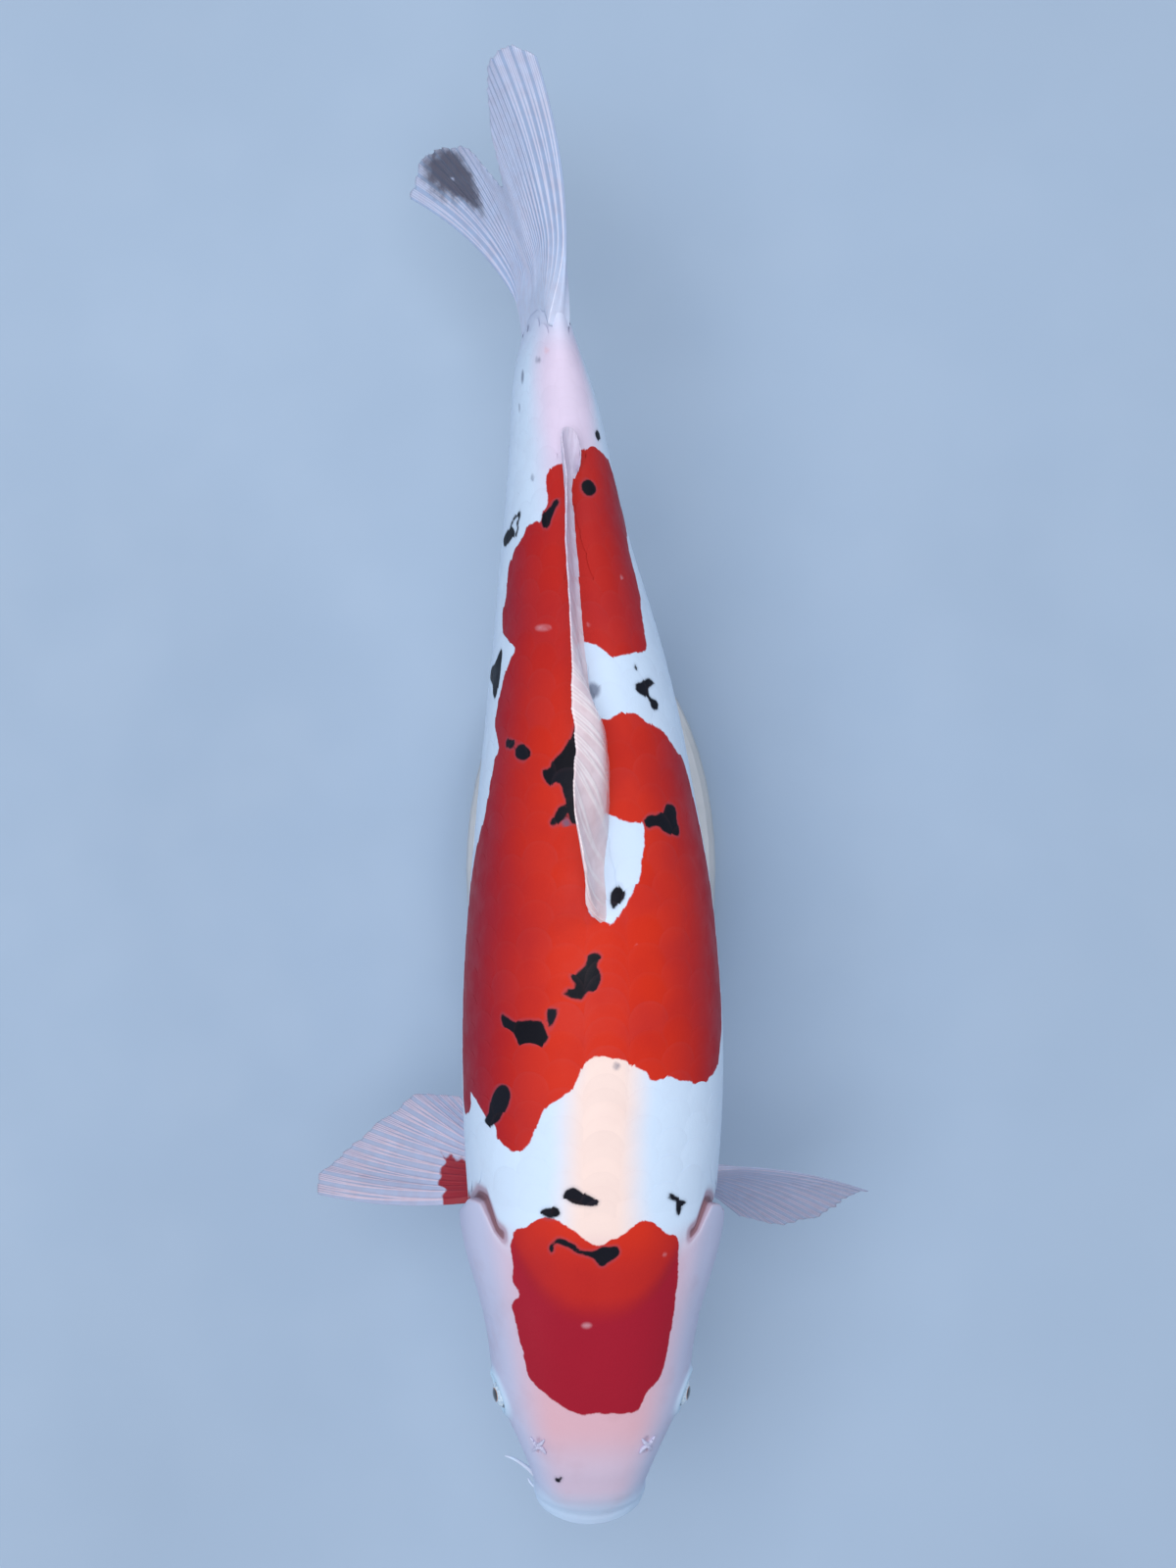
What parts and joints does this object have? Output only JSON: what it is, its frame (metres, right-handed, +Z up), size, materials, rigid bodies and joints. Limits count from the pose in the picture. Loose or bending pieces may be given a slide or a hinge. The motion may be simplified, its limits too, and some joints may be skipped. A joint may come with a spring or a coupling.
{
  "type": "koi carp",
  "caption": "Life-size still model of a swimming koi carp with white, red and black markings, held by a plain oval display stand on short rods.",
  "frame": {"origin": "centre of the display stand's underside", "axes": "+Z up; the head points to -Y and the tail to +Y; +X is the fish's left side"},
  "size_m": [0.2396, 0.5932, 0.2765],
  "materials": {
    "skin": "wet scaled skin, white with red and black markings",
    "fin": "thin translucent fin membrane over raised rays",
    "eye": "wet gloss",
    "stand_base": "satin lacquer",
    "stand_steel": "brushed"
  },
  "bodies": {
    "root": {"head": "skin", "lower_jaw": "skin", "gill_cover_left": "skin", "gill_cover_right": "skin", "eye_left": "eye", "eye_right": "eye", "barbel_corner_left": "skin", "barbel_corner_right": "skin", "barbel_lip_left": "skin", "barbel_lip_right": "skin", "trunk_front": "skin", "trunk_rear": "skin", "tail_stem": "skin", "dorsal_fin": "fin", "tail_fin_upper": "fin", "tail_fin_lower": "fin", "anal_fin": "fin", "pelvic_fin_left": "fin", "pelvic_fin_right": "fin", "pectoral_fin_left": "fin", "pectoral_fin_right": "fin", "stand_base": "stand_base", "stand_collar_front": "stand_steel", "stand_collar_rear": "stand_steel", "stand_rod_front": "stand_steel", "stand_rod_rear": "stand_steel"}
  },
  "joints": []
}
